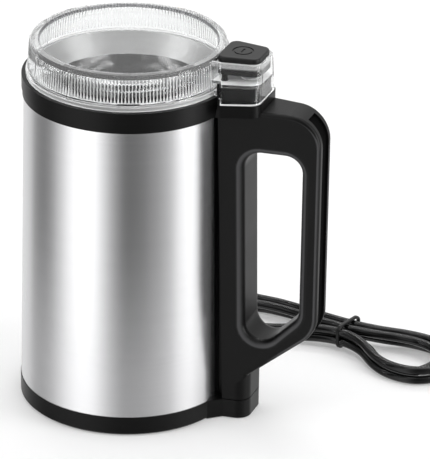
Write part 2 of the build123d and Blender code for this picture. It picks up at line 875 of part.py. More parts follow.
# Blade with two raised wings on a collar, and the cap that holds it
with BuildPart() as blade:
    with BuildSketch(Plane.XZ):
        for side in (-1, 1):
            Polygon(
                (0, blade_level),
                (side * blade_flat, blade_level),
                (side * blade_tip, blade_level + blade_rise),
                (side * blade_tip, blade_level + blade_rise + blade_wall),
                (side * blade_flat, blade_level + blade_wall),
                (0, blade_level + blade_wall),
                align=None,
            )
    extrude(amount=blade_width / 2, both=True)
    with BuildSketch(Plane.XY.offset(blade_level - overrun)):
        SlotOverall(2 * blade_tip, blade_width)
    extrude(amount=blade_rise + blade_wall + 2 * overrun, mode=Mode.INTERSECT)
    drum(blade_collar_radius, blade_level - blade_collar_height, blade_level)
    drum(shaft_radius + press_gap, cup_floor, blade_level + blade_rise + overrun, Mode.SUBTRACT)
blade.part.label = "blade"
export_step(blade.part, "parts/blade.step")

with BuildPart() as blade_cap:
    drum(blade_cap_radius, blade_level + blade_wall, blade_level + blade_wall + blade_cap_height)
    fillet(blade_cap.edges().group_by(Axis.Z)[-1], blade_cap_round)
    drum(shaft_radius + press_gap, blade_level, shaft_top, Mode.SUBTRACT)
blade_cap.part.label = "blade_cap"
export_step(blade_cap.part, "parts/blade_cap.step")

# Lid: flange, drafted wall, sunk roof, main ribs and the clear housing for the button
with BuildPart() as lid:
    loft([wedge(level, 0, level) for level in (housing_bottom, housing_top)], ruled=True)
    loft(
        [wedge(level, housing_wall, level) for level in (housing_bottom, housing_top)],
        ruled=True,
        mode=Mode.SUBTRACT,
    )
    extrude(wedge(shelf_bottom, housing_wall / 2, shelf_bottom), amount=shelf_wall)
    tall = (housing_bottom - overrun, housing_top + overrun)
    for side in (-1, 1):
        drum(guide_radius + air_gap, *tall, Mode.SUBTRACT, (guide_x, side * guide_y))
    drum(stem_radius + air_gap, *tall, Mode.SUBTRACT, (plunger_x, 0))
    drum(spring_cup + spring_cup_wall, shelf_top, shelf_top + spring_cup_height, at=(spring_x, 0))
    drum(spring_cup, shelf_top, shelf_top + spring_cup_height, Mode.SUBTRACT, (spring_x, 0))
    drum(lid_high_radius - seat_gap, *tall, Mode.SUBTRACT)
    drum(collar_high_radius + air_gap, housing_bottom - overrun, lid_bottom, Mode.SUBTRACT)
    turned(
        [
            (lid_skirt_inner, lid_bottom),
            (lid_flange_radius, lid_bottom),
            (lid_flange_radius, flange_top),
            (lid_low_radius, flange_top),
            (lid_high_radius, lid_top - lid_edge),
            (lid_high_radius - lid_edge, lid_top),
            (lid_rim_radius + lid_edge, lid_top),
            (lid_rim_radius, lid_top - lid_edge),
            (lid_rim_radius, lid_roof),
            (0, lid_roof),
            (0, lid_roof - lid_roof_wall),
            (lid_throat_radius, lid_roof - lid_roof_wall),
            (lid_skirt_inner, lid_bottom + lid_skirt_height),
        ]
    )
    rib_arc = math.degrees(rib_width / lid_low_radius)
    for step in range(rib_count):
        turn = math.radians((step + 1 / 2) * 360 / rib_count)
        way = Vector(math.cos(turn), math.sin(turn), 0)
        with BuildSketch(Plane(origin=(0, 0, 0), x_dir=way, z_dir=(way.Y, -way.X, 0))):
            Polygon(
                (lid_low_radius - rib_proud, flange_top),
                (lid_low_radius + rib_proud, flange_top),
                (lid_high_radius + rib_proud, lid_top - lid_edge - rib_proud),
                (lid_high_radius - rib_proud, lid_top - lid_edge),
                align=None,
            )
        revolve(axis=Axis.Z, revolution_arc=rib_arc)
lid.part.label = "lid"
export_step(lid.part, "parts/lid.step")

# Button: hollow cap with two guides, the stem that works the switch and an engraved ring and bar
hollow_height = button_ceiling - button_bottom + overrun
with BuildPart() as button:
    extrude(cap_outline(button_bottom, 0), amount=button_skirt)
    fillet(button.faces().sort_by(Axis.Z)[-1].edges(), button_edge)
    extrude(cap_outline(button_bottom - overrun, button_wall), amount=hollow_height, mode=Mode.SUBTRACT)
    for side in (-1, 1):
        drum(guide_radius, shelf_bottom + seat_gap, button_ceiling, at=(guide_x, side * guide_y))
    drum(stem_radius, stem_end, button_ceiling, at=(plunger_x, 0))
    pip_bottom = button_ceiling - 2 * spring_wire
    drum(spring_radius - spring_wire - fit_gap, pip_bottom, button_ceiling, at=(spring_x, 0))
    with BuildSketch(Plane.XY.offset(button_top - mark_depth)):
        with Locations((mark_x, 0)):
            Circle(mark_radius)
            Circle(mark_radius - mark_width, mode=Mode.SUBTRACT)
            Rectangle(mark_width, mark_bar)
    extrude(amount=mark_depth + overrun, mode=Mode.SUBTRACT)
button.part.label = "button"
export_step(button.part, "parts/button.step")

# Return spring: one unbroken tube of quarter-turn arcs between shelf and button
spring_bottom = shelf_top + spring_wire + seat_gap
spring_rise = button_ceiling - spring_wire - seat_gap - spring_bottom
spring_slope = spring_rise / (spring_turns * 2 * math.pi)
spring_stations = []
for quarter in range(4 * spring_turns + 1):
    turn = quarter * math.pi / 2
    out_x = spring_radius * math.cos(turn)
    out_y = spring_radius * math.sin(turn)
    place = Vector(spring_x + out_x, out_y, spring_bottom + spring_slope * turn)
    spring_stations.append((place, Vector(-out_y, out_x, spring_slope).normalized()))
with BuildPart() as return_spring:
    with BuildLine() as spring_path:
        biarcs(spring_stations)
    with BuildSketch(Plane(origin=spring_stations[0][0], z_dir=spring_stations[0][1])):
        Circle(spring_wire)
    sweep()
return_spring.part.label = "return_spring"
export_step(return_spring.part, "parts/return_spring.step")

# Switch cover on the boss, inside the housing
with BuildPart() as switch_cover:
    cover_inset = housing_wall + air_gap
    extrude(wedge(boss_top, cover_inset, boss_top), amount=switch_cover_height)
    extrude(wedge(boss_top, cover_inset, switch_cover_top), amount=switch_cover_height, mode=Mode.INTERSECT)
    drum(switch_cover_radius, boss_top - overrun, switch_cover_top + overrun, Mode.SUBTRACT)
    drum(collar_high_radius + fit_gap, boss_top - overrun, collar_top + fit_gap, Mode.SUBTRACT)
    hole_top = switch_cover_top + overrun
    drum(plunger_radius + air_gap, boss_top - overrun, hole_top, Mode.SUBTRACT, (plunger_x, 0))
    for side in (-1, 1):
        hole_floor = switch_cover_top - guide_hole_depth
        drum(guide_radius + air_gap, hole_floor, hole_top, Mode.SUBTRACT, (guide_x, side * guide_y))
switch_cover.part.label = "switch_cover"
export_step(switch_cover.part, "parts/switch_cover.step")

with BuildPart() as switch_plunger:
    drum(plunger_radius, plunger_bottom, stem_end - plunger_gap, at=(plunger_x, 0))
switch_plunger.part.label = "switch_plunger"
export_step(switch_plunger.part, "parts/switch_plunger.step")

with BuildPart() as microswitch:
    with Locations((switch_inner_x + switch_length / 2, 0, switch_floor)):
        Box(switch_length, switch_width, switch_height, align=(Align.CENTER, Align.CENTER, Align.MIN))
    bore = (switch_top - switch_bore_depth, switch_top + overrun)
    drum(plunger_radius + air_gap, *bore, Mode.SUBTRACT, (plunger_x, 0))
microswitch.part.label = "microswitch"
export_step(microswitch.part, "parts/microswitch.step")


def handle_face():
    """Outer outline of the handle, seen from the side."""
    with BuildSketch(Plane.XZ) as outline:
        Polygon(
            (handle_inner_x, handle_bottom),
            (block_reach, handle_bottom),
            (block_reach, handle_foot_top),
            (handle_outer_x, handle_knee),
            (handle_outer_x, handle_top),
            (handle_inner_x, handle_top),
            align=None,
        )
        for corner, radius in (
            ((handle_outer_x, handle_knee), handle_knee_round),
            ((handle_outer_x, handle_top), handle_shoulder_round),
        ):
            fillet(outline.vertices().sort_by_distance(corner)[0], radius)
    return outline.sketch


def groove_band(near, far):
    """Band along the outside of the handle, between two depths below its surface."""
    with BuildSketch(Plane.XZ) as band:
        add(handle_face())
        if near > 0:
            offset(amount=-near, mode=Mode.REPLACE)
        offset(amount=near - far, mode=Mode.SUBTRACT)
        with Locations(((handle_outer_x + grip_right) / 2, (groove_top + groove_bottom) / 2)):
            Rectangle(handle_outer_x - grip_right, groove_top - groove_bottom, mode=Mode.INTERSECT)
    return band.sketch


# What the round corners of the foot leave out, below the underside of the strut
trim_x = block_reach + overrun
trim_low = handle_bottom - overrun
strut_slope = (handle_knee - handle_foot_top) / (handle_outer_x - block_reach)
trim_top = handle_foot_top + overrun * strut_slope - foot_trim_drop
trim_near_x = trim_x - (trim_top - trim_low) / strut_slope
with BuildPart() as foot_trim:
    with BuildSketch(Plane.XZ):
        Polygon((trim_near_x, trim_low), (trim_x, trim_low), (trim_x, trim_top), align=None)
    extrude(amount=handle_body_half, both=True)
    with BuildSketch(Plane.XY.offset(trim_low - overrun)) as foot:
        add(handle_plan(trim_low - overrun, block_reach))
        fillet(foot.vertices().group_by(Axis.X)[-1], block_round)
    extrude(foot.sketch, amount=handle_foot_top, mode=Mode.SUBTRACT)

# Handle loop with its groove, switch pocket and screw holes
with BuildPart() as handle_shell:
    extrude(handle_face(), amount=side_half(handle_inner_x), both=True)
    extrude(handle_plan(0, handle_outer_x), amount=handle_top, mode=Mode.INTERSECT)
    with BuildSketch(Plane.XZ) as grip:
        Polygon(
            (grip_left, grip_low_left),
            (grip_right, grip_low_right),
            (grip_right, grip_top),
            (grip_left_top, grip_top),
            align=None,
        )
        fillet(grip.vertices(), grip_rounds)
    extrude(amount=handle_body_half, both=True, mode=Mode.SUBTRACT)
    for side in (0, -1):
        side_face = handle_shell.faces().sort_by(Axis.Y)[side]
        fillet(side_face.inner_wires()[0].edges(), grip_edge)
        side_face = handle_shell.faces().sort_by(Axis.Y)[side]
        fillet(side_face.outer_wire().edges().sort_by(Axis.Z)[1:], handle_edge)
    add(foot_trim.part, mode=Mode.SUBTRACT)
    for side in (-1, 1):
        with BuildSketch(Plane.XZ.offset(side * spine_neck_half)):
            Polygon(
                (handle_inner_x - overrun, trim_low),
                (sleeve_bottom_radius + spine_low_proud, trim_low),
                (sleeve_top_radius + spine_high_proud, collar_bottom - fit_gap),
                (handle_inner_x - overrun, collar_bottom - fit_gap),
                align=None,
            )
        extrude(amount=side * handle_body_half, mode=Mode.SUBTRACT)
    extrude(groove_band(0, groove_depth), amount=groove_half, both=True, mode=Mode.SUBTRACT)
    turned(
        [
            (0, handle_bottom - overrun),
            (sleeve_radius(handle_bottom - overrun) + fit_gap, handle_bottom - overrun),
            (sleeve_radius(collar_bottom) + fit_gap, collar_bottom - fit_gap),
            (collar_low_radius + fit_gap, collar_bottom - fit_gap),
            (collar_high_radius + fit_gap, collar_line),
            (collar_high_radius + fit_gap, handle_top + overrun),
            (0, handle_top + overrun),
        ],
        Mode.SUBTRACT,
    )
    boss_pocket = wedge(boss_bottom - fit_gap, -boss_margin - fit_gap, housing_bottom)
    extrude(boss_pocket, amount=boss_top, mode=Mode.SUBTRACT)
    with Locations((switch_inner_x + switch_length / 2, 0, switch_floor)):
        Box(
            switch_length + 2 * fit_gap,
            switch_width + 2 * fit_gap,
            boss_top - switch_floor,
            align=(Align.CENTER, Align.CENTER, Align.MIN),
            mode=Mode.SUBTRACT,
        )
    for level in handle_screw_levels:
        with BuildSketch(Plane.YZ.offset(handle_inner_x)):
            with Locations((0, level)):
                Circle(handle_screw_radius + press_gap)
        extrude(amount=handle_screw_reach + fit_gap - handle_inner_x, mode=Mode.SUBTRACT)
handle_shell.part.label = "handle_shell"
export_step(handle_shell.part, "parts/handle_shell.step")

with BuildPart() as handle_inlay:
    extrude(groove_band(inlay_sink, groove_depth), amount=groove_half - fit_gap, both=True)
handle_inlay.part.label = "handle_inlay"
export_step(handle_inlay.part, "parts/handle_inlay.step")

with BuildPart() as handle_screws:
    for level in handle_screw_levels:
        with BuildSketch(Plane.YZ.offset(handle_screw_start)):
            with Locations((0, level)):
                Circle(handle_screw_head_radius)
        extrude(amount=handle_screw_head_height)
        with BuildSketch(Plane.YZ.offset(handle_screw_start + handle_screw_head_height)):
            with Locations((0, level)):
                Circle(handle_screw_radius)
        extrude(amount=handle_screw_reach - handle_screw_start - handle_screw_head_height)
handle_screws.part.label = "handle_screws"
export_step(handle_screws.part, "parts/handle_screws.step")

# Strain relief: a ribbed cone on a neck through the base ring
relief_plane = Plane(origin=exit_way * body_radius + Vector(0, 0, exit_level), z_dir=exit_way)
relief_foot = relief_plane.offset(seat_gap)
with BuildPart() as strain_relief:
    with BuildSketch(relief_plane.offset(-ring_wall + fit_gap)):
        Circle(relief_neck_radius)
    extrude(amount=ring_wall)
    with BuildSketch(relief_foot):
        Circle(relief_big_radius)
    with BuildSketch(relief_plane.offset(relief_length)):
        Circle(relief_small_radius)
    loft()
    groove_pitch = relief_length / (relief_groove_count + 1)
    for step in range(relief_groove_count):
        share = (step + 1) / (relief_groove_count + 1)
        surface = relief_big_radius + (relief_small_radius - relief_big_radius) * share
        with BuildSketch(relief_plane.offset(groove_pitch * (step + 1) - relief_groove_width / 2)):
            Circle(relief_big_radius)
            Circle(surface - relief_groove_depth, mode=Mode.SUBTRACT)
        extrude(amount=relief_groove_width, mode=Mode.SUBTRACT)
strain_relief.part.label = "strain_relief"
export_step(strain_relief.part, "parts/strain_relief.step")

# Hank: one tube through stations along the hank, across it and up, three turns in two layers
hank_turn = math.radians(hank_angle)
hank_way = Vector(math.cos(hank_turn), math.sin(hank_turn), 0)
hank_side = Vector(-math.sin(hank_turn), math.cos(hank_turn), 0)
left_turn = math.radians(left_angle)
left_way = Vector(math.cos(left_turn), math.sin(left_turn), 0)
left_side = Vector(-math.sin(left_turn), math.cos(left_turn), 0)
low = cord_radius + cord_rest
high = low + layer_step


def hank_point(along, across, level):
    """Point of the waist or the right lobe, along the hank, across it and up."""
    return Vector(hank_x, hank_y, level) + hank_way * along + hank_side * across


def left_point(along, across, level):
    """Point of the left lobe, which is bent back from the line of the hank."""
    return Vector(hank_x, hank_y, level) - left_way * along + left_side * across


def right_loop(reach, half, low_level, high_level):
    """Waist to waist round the right lobe, from the near side to the far side."""
    middle = (low_level + high_level) / 2
    return [
        (hank_point(reach, -half, low_level), hank_way),
        (hank_point(reach + half, 0, middle), hank_side),
        (hank_point(reach, half, high_level), -hank_way),
    ]


def left_loop(far_half, near_half, level):
    """Waist to waist round the left lobe, from the far side to the near side."""
    bend = (far_half + near_half) / 2
    return [
        (left_point(left_reach, far_half, level), -left_way),
        (left_point(left_reach + bend, (far_half - near_half) / 2, level), -left_side),
        (left_point(left_reach, -near_half, level), left_way),
    ]


def waist(across, level, way):
    """Station under the tie, lifted off the floor by it."""
    return [(hank_point(0, across, level + waist_lift), way)]


hank_stations = (
    [(left_point(left_reach, -left_outer, low), left_way)]
    + waist(-waist_step, low, hank_way)
    + right_loop(right_outer_reach, right_outer, low, low)
    + waist(waist_step, low, -hank_way)
    + left_loop(left_outer, left_inner, low)
    + waist(0, low, hank_way)
    + right_loop(right_inner_reach, right_inner, low, high)
    + waist(0, high, -hank_way)
    + left_loop(left_inner, left_outer, high)
    + waist(-waist_step, high, hank_way)
    + right_loop(right_outer_reach, right_outer, high, high)
    + waist(waist_step, high, -hank_way)
    + [(left_point(left_reach, left_outer, high), -left_way)]
)
hank_start = hank_stations[0][0] - left_way * (2 * cord_radius)
hank_end = hank_stations[-1][0] - left_way * (2 * cord_radius)
with BuildPart() as cord_hank:
    with BuildLine() as hank_path:
        Line(hank_start, hank_stations[0][0])
        biarcs(hank_stations)
        Line(hank_stations[-1][0], hank_end)
    with BuildSketch(Plane(origin=hank_start, z_dir=left_way)):
        Circle(cord_radius)
    sweep()
cord_hank.part.label = "cord_hank"
export_step(cord_hank.part, "parts/cord_hank.step")

# Lead from the relief to the hank
lead_start = exit_way * relief_end + Vector(0, 0, exit_level)
lead_points = [lead_start, lead_start + exit_way * lead_first_run]
for out, angle, share in zip(lead_outs, lead_angles, lead_drop_shares):
    radius = body_radius + out
    turn = math.radians(angle)
    level = exit_level + (low - exit_level) * share
    lead_points.append(Vector(radius * math.cos(turn), radius * math.sin(turn), level))
lead_points += [hank_start - left_way * lead_last_run, hank_start]
with BuildPart() as cord_lead:
    with BuildLine() as lead_path:
        FilletPolyline(*lead_points, radius=corner_radii(lead_points))
    with BuildSketch(Plane(origin=lead_start, z_dir=lead_points[1] - lead_points[0])):
        Circle(cord_radius)
    sweep()
cord_lead.part.label = "cord_lead"
export_step(cord_lead.part, "parts/cord_lead.step")

# Tail from the hank to the plug
tail_points = [hank_end]
tail_levels = (high, high - tail_sag, plug_level, plug_level)
for step, (run, level) in enumerate(zip(tail_runs, tail_levels)):
    heading = left_turn + math.pi - math.radians(tail_turn * step)
    last = tail_points[-1]
    tail_points.append(Vector(last.X + run * math.cos(heading), last.Y + run * math.sin(heading), level))
with BuildPart() as cord_tail:
    with BuildLine() as tail_path:
        FilletPolyline(*tail_points, radius=corner_radii(tail_points))
    with BuildSketch(Plane(origin=hank_end, z_dir=tail_points[1] - tail_points[0])):
        Circle(cord_radius)
    sweep()
cord_tail.part.label = "cord_tail"
export_step(cord_tail.part, "parts/cord_tail.step")

# Tie round the waist of the hank
tie_inner_width = 2 * (waist_step + cord_radius + tie_gap)
tie_inner_height = layer_step + 2 * (cord_radius + tie_gap)
tie_middle = Vector(hank_x, hank_y, (low + high) / 2 + waist_lift) - hank_way * (tie_width / 2)
with BuildPart() as cord_tie:
    with BuildSketch(Plane(origin=tie_middle, x_dir=hank_side, z_dir=hank_way)):
        RectangleRounded(tie_inner_width + 2 * tie_wall, tie_inner_height + 2 * tie_wall, tie_round)
        RectangleRounded(tie_inner_width, tie_inner_height, tie_round - tie_wall, mode=Mode.SUBTRACT)
    extrude(amount=tie_width)
    fillet(cord_tie.faces().filter_by(Axis(tie_middle, hank_way)).edges(), tie_edge)
cord_tie.part.label = "cord_tie"
export_step(cord_tie.part, "parts/cord_tie.step")

# Plug lying beyond the tail, and its two flat pins
last_run = tail_points[-1] - tail_points[-2]
plug_way = Vector(last_run.X, last_run.Y, 0).normalized()
plug_plane = Plane(origin=tail_points[-1], x_dir=(plug_way.Y, -plug_way.X, 0), z_dir=plug_way)
with BuildPart() as plug_body:
    with BuildSketch(plug_plane):
        RectangleRounded(plug_back_width, plug_back_height, plug_round)
    with BuildSketch(plug_plane.offset(plug_length / 2)):
        RectangleRounded(plug_front_width, plug_front_height, plug_round)
    loft()
    extrude(plug_body.faces().sort_by(Axis(tail_points[-1], plug_way))[-1], amount=plug_length / 2)
plug_body.part.label = "plug_body"
export_step(plug_body.part, "parts/plug_body.step")

with BuildPart() as plug_pins:
    with BuildSketch(plug_plane.offset(plug_length)):
        with Locations((-pin_pitch / 2, 0), (pin_pitch / 2, 0)):
            Rectangle(pin_wall, pin_width)
    extrude(amount=pin_length)
plug_pins.part.label = "plug_pins"
export_step(plug_pins.part, "parts/plug_pins.step")

# What the cord and the spring measure
section = math.pi * cord_radius**2
hank_wire = Wire(hank_path.edges())
lead_wire = Wire(lead_path.edges())
tail_wire = Wire(tail_path.edges())
hank_bends = [edge.radius for edge in hank_path.edges().filter_by(GeomType.CIRCLE)]
print("lead corner radii", [round(radius, 1) for radius in corner_radii(lead_points)])
print("tail corner radii", [round(radius, 1) for radius in corner_radii(tail_points)])
print("hank tightest radius", round(min(hank_bends), 2))
print("hank least gap", round(least_gap(hank_wire, cord_radius), 2))
print("spring least gap", round(least_gap(Wire(spring_path.edges()), spring_wire), 2))
for tube, path in ((cord_hank, hank_wire), (cord_lead, lead_wire), (cord_tail, tail_wire)):
    fullness = tube.part.volume / (section * path.length)
    print(tube.part.label, "volume over section x length", round(fullness, 4))
print("cord length", round(lead_wire.length + hank_wire.length + tail_wire.length, 1))
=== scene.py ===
import json
import math

import bmesh
import bpy
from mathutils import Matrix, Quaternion, Vector


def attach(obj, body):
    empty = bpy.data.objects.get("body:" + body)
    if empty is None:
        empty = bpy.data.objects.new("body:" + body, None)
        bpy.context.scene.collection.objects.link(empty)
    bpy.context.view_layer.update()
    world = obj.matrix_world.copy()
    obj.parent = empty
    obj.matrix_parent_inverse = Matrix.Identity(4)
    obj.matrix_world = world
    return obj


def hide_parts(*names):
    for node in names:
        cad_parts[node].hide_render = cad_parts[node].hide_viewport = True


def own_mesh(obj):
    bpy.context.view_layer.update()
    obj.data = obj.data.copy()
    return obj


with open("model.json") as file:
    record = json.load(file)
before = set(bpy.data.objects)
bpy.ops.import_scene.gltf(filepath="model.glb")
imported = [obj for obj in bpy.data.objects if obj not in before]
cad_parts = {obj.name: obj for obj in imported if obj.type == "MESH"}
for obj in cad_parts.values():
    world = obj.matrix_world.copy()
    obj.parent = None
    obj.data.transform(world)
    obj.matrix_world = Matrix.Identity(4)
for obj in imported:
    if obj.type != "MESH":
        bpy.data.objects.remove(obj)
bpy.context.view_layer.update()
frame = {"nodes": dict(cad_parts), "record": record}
nodes = frame["nodes"]
scene = bpy.context.scene

HALF_TURN = 180
FULL_TURN = 360

# Camera, as the photograph was taken, for an image 430 pixels wide
IMAGE_WIDTH = 430
FOCAL_PIXELS = 4000
SENSOR_MM = 36.0
CAMERA_FAR = 20.0
CAMERA_PLACE = Vector((0.62478, -1.56602, 0.87035))
CAMERA_AIM = Vector((0.02557, 0.04769, 0.06607))
CAMERA_ROLL = math.radians(0.9)

# Cord: the route's points, as in the part, in metres
CORD_RADIUS = 0.0021
BODY_RADIUS = 0.05015
EXIT_ANGLE = 130.0
EXIT_LEVEL = 0.0052
RELIEF_LENGTH = 0.020
RELIEF_END = BODY_RADIUS + RELIEF_LENGTH
LEAD_FIRST_RUN = 0.0142
LEAD_LAST_RUN = 0.022
LEAD_RADII = (0.09564, 0.1000, 0.0963)
LEAD_ANGLES = (124.5, 116.2, 108.6)
LEAD_DROP_SHARES = (0.3, 0.6, 0.9)
HANK_CENTRE = Vector((0.0823, 0.0820, 0.0))
HANK_ANGLE = math.radians(-16.3)
LEFT_ANGLE = math.radians(-3.0)
LOW_LAYER = 0.00225
HIGH_LAYER = 0.00715
WAIST_STEP = 0.0055
WAIST_LIFT = 0.0021
RIGHT_OUTER_REACH = 0.040
RIGHT_OUTER = 0.0172
RIGHT_INNER_REACH = 0.0385
RIGHT_INNER = 0.0114
LEFT_REACH = 0.050
LEFT_OUTER = 0.0148
LEFT_INNER = 0.0091
HANK_END_RUN = 0.0042
TAIL_RUNS = (0.012, 0.016, 0.016, 0.012)
TAIL_TURN = 3.0
TAIL_SAG = 0.0014
PLUG_LEVEL = 0.0087

# Where the control points of a loop lie along it, as shares of its reach
RIGHT_WAIST_SHARE = 0.25
RIGHT_FLARE_SHARE = 0.72
LEFT_WAIST_SHARE = 0.25
LEFT_FLARE_SHARE = 0.76

# How finely the round tubes of the cord and the spring are drawn
LINE_ORDER = 3
CORD_BEVEL_STEPS = 6
CORD_LINE_STEPS = 10
SPRING_BEVEL_STEPS = 3
SPRING_LINE_STEPS = 4


def on_circle(radius, degrees, level):
    """Point at a distance and angle from the body axis."""
    turn = math.radians(degrees)
    return Vector((radius * math.cos(turn), radius * math.sin(turn), level))


def add_object(name, data):
    """Object in the scene that shows this data."""
    made = bpy.data.objects.new(name, data)
    scene.collection.objects.link(made)
    return made


def aim_at(target, place, aim):
    """Puts a camera or lamp at a place and points it at another."""
    target.location = place
    target.rotation_mode = "QUATERNION"
    target.rotation_quaternion = (Vector(aim) - Vector(place)).to_track_quat("-Z", "Y")


def tube(name, places, radius, bevel_steps, line_steps):
    """Curve of a round tube on a smooth line, which has the places as its control points."""
    curve = bpy.data.curves.new(name, "CURVE")
    curve.dimensions = "3D"
    # A profile of radius 1, which the radius of each point scales
    curve.bevel_depth = 1.0
    curve.bevel_resolution = bevel_steps
    curve.use_fill_caps = True
    line = curve.splines.new("NURBS")
    line.points.add(len(places) - 1)
    for point, place in zip(line.points, places):
        point.co = (*place, 1)
        point.radius = radius
    line.order_u = LINE_ORDER
    line.use_endpoint_u = True
    line.resolution_u = line_steps
    return curve


# Camera
camera = add_object("camera", bpy.data.cameras.new("camera"))
camera.data.sensor_fit = "HORIZONTAL"
camera.data.sensor_width = SENSOR_MM
camera.data.lens = SENSOR_MM * FOCAL_PIXELS / IMAGE_WIDTH
camera.data.clip_end = CAMERA_FAR
aim_at(camera, CAMERA_PLACE, CAMERA_AIM)
camera.rotation_quaternion = camera.rotation_quaternion @ Quaternion((0, 0, 1), CAMERA_ROLL)
scene.camera = camera

# Cord
hank_way = Vector((math.cos(HANK_ANGLE), math.sin(HANK_ANGLE), 0))
hank_side = Vector((-math.sin(HANK_ANGLE), math.cos(HANK_ANGLE), 0))
left_way = Vector((math.cos(LEFT_ANGLE), math.sin(LEFT_ANGLE), 0))
left_side = Vector((-math.sin(LEFT_ANGLE), math.cos(LEFT_ANGLE), 0))
octagon_share = math.tan(math.pi / 8)


def hank_point(along, across, level):
    """Point of the waist or the right lobe, along the hank, across it and up."""
    return HANK_CENTRE + hank_way * along + hank_side * across + Vector((0, 0, level))


def left_point(along, across, level):
    """Point of the left lobe, which is bent back from the line of the hank."""
    return HANK_CENTRE - left_way * along + left_side * across + Vector((0, 0, level))


def right_loop(waist_near, waist_far, reach, half, low, high):
    """Control points round the right lobe, from the near side of the waist to the far side."""
    corner = half * octagon_share
    middle = (low + high) / 2
    return [
        hank_point(reach * RIGHT_WAIST_SHARE, waist_near, low + WAIST_LIFT),
        hank_point(reach * RIGHT_FLARE_SHARE, -half, low),
        hank_point(reach + corner, -half, low),
        hank_point(reach + half, -corner, middle),
        hank_point(reach + half, corner, middle),
        hank_point(reach + corner, half, high),
        hank_point(reach * RIGHT_FLARE_SHARE, half, high),
        hank_point(reach * RIGHT_WAIST_SHARE, waist_far, high + WAIST_LIFT),
    ]


def left_run(waist_across, half, level):
    """Control points of one side of the left lobe, from the waist outwards."""
    return [
        left_point(LEFT_REACH * LEFT_WAIST_SHARE, waist_across, level + WAIST_LIFT),
        left_point(LEFT_REACH * LEFT_FLARE_SHARE, half, level),
    ]


def left_loop(waist_far, waist_near, far_half, near_half, level):
    """Control points round the left lobe, from the far side of the waist to the near side."""
    bend = (far_half + near_half) / 2
    middle = (far_half - near_half) / 2
    corner = bend * octagon_share
    fold = [
        left_point(LEFT_REACH + corner, far_half, level),
        left_point(LEFT_REACH + bend, middle + corner, level),
        left_point(LEFT_REACH + bend, middle - corner, level),
        left_point(LEFT_REACH + corner, -near_half, level),
    ]
    return left_run(waist_far, far_half, level) + fold + left_run(waist_near, -near_half, level)[::-1]


exit_way = on_circle(1, EXIT_ANGLE, 0)
cord_exit = on_circle(RELIEF_END, EXIT_ANGLE, EXIT_LEVEL)
hank_start = left_point(LEFT_REACH + HANK_END_RUN, -LEFT_OUTER, LOW_LAYER)
hank_end = left_point(LEFT_REACH + HANK_END_RUN, LEFT_OUTER, HIGH_LAYER)
route = [cord_exit, cord_exit + exit_way * LEAD_FIRST_RUN]
for radius, angle, share in zip(LEAD_RADII, LEAD_ANGLES, LEAD_DROP_SHARES):
    route.append(on_circle(radius, angle, EXIT_LEVEL + (LOW_LAYER - EXIT_LEVEL) * share))
route += [hank_start - left_way * LEAD_LAST_RUN, hank_start]
route += left_run(-WAIST_STEP, -LEFT_OUTER, LOW_LAYER)[::-1]
route += right_loop(-WAIST_STEP, WAIST_STEP, RIGHT_OUTER_REACH, RIGHT_OUTER, LOW_LAYER, LOW_LAYER)
route += left_loop(WAIST_STEP, 0, LEFT_OUTER, LEFT_INNER, LOW_LAYER)
route += right_loop(0, 0, RIGHT_INNER_REACH, RIGHT_INNER, LOW_LAYER, HIGH_LAYER)
route += left_loop(0, -WAIST_STEP, LEFT_INNER, LEFT_OUTER, HIGH_LAYER)
route += right_loop(-WAIST_STEP, WAIST_STEP, RIGHT_OUTER_REACH, RIGHT_OUTER, HIGH_LAYER, HIGH_LAYER)
route += left_run(WAIST_STEP, LEFT_OUTER, HIGH_LAYER)
route.append(hank_end)
tail_levels = (HIGH_LAYER, HIGH_LAYER - TAIL_SAG, PLUG_LEVEL, PLUG_LEVEL)
for step, (run, level) in enumerate(zip(TAIL_RUNS, tail_levels)):
    heading = math.pi + LEFT_ANGLE - math.radians(TAIL_TURN * step)
    last = route[-1]
    route.append(Vector((last.x + run * math.cos(heading), last.y + run * math.sin(heading), level)))

cord_curve = tube("mains_cord", route, CORD_RADIUS, CORD_BEVEL_STEPS, CORD_LINE_STEPS)
cord = add_object("mains_cord", cord_curve)
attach(cord, "grinder")
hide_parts("cord_lead", "cord_hank", "cord_tail")

# Return spring under the button: a helix between the shelf and the button, which shortens as it is pressed
SPRING_CENTRE = Vector((0.0596, 0.0, 0.0))
SPRING_RADIUS = 0.0030
SPRING_WIRE = 0.00035
SPRING_TURNS = 6
SPRING_BOTTOM = 0.16945
SPRING_TOP = 0.17855
SPRING_STEPS = 12
spring_count = SPRING_TURNS * SPRING_STEPS
helix = []
for step in range(spring_count + 1):
    level = SPRING_BOTTOM + (SPRING_TOP - SPRING_BOTTOM) * step / spring_count
    helix.append(SPRING_CENTRE + on_circle(SPRING_RADIUS, FULL_TURN * step / SPRING_STEPS, level))
spring_curve = tube("button_spring", helix, SPRING_WIRE, SPRING_BEVEL_STEPS, SPRING_LINE_STEPS)
spring_path = bpy.data.objects.new("spring_path", spring_curve)
spring_mesh = bpy.data.meshes.new_from_object(spring_path)
bpy.data.objects.remove(spring_path)
spring_mesh.shade_smooth()
spring = add_object("button_spring", spring_mesh)
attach(spring, "lid_body")
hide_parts("return_spring")
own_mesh(spring)

# Fine upright ribs round the lid's wall, in one band that is let into it
RIB_COUNT = 180
RIB_STEPS = 10
RIB_PROUD = 0.0004
RIB_LIFT = 0.00004
RIB_SINK = 0.00015
RIB_BOTTOM = 0.1652
RIB_TOP = 0.1763
RIB_TAPER = 0.0004
WALL_FOOT = 0.1636
WALL_TOP = 0.1778
WALL_FOOT_RADIUS = 0.0460
WALL_TOP_RADIUS = 0.0450

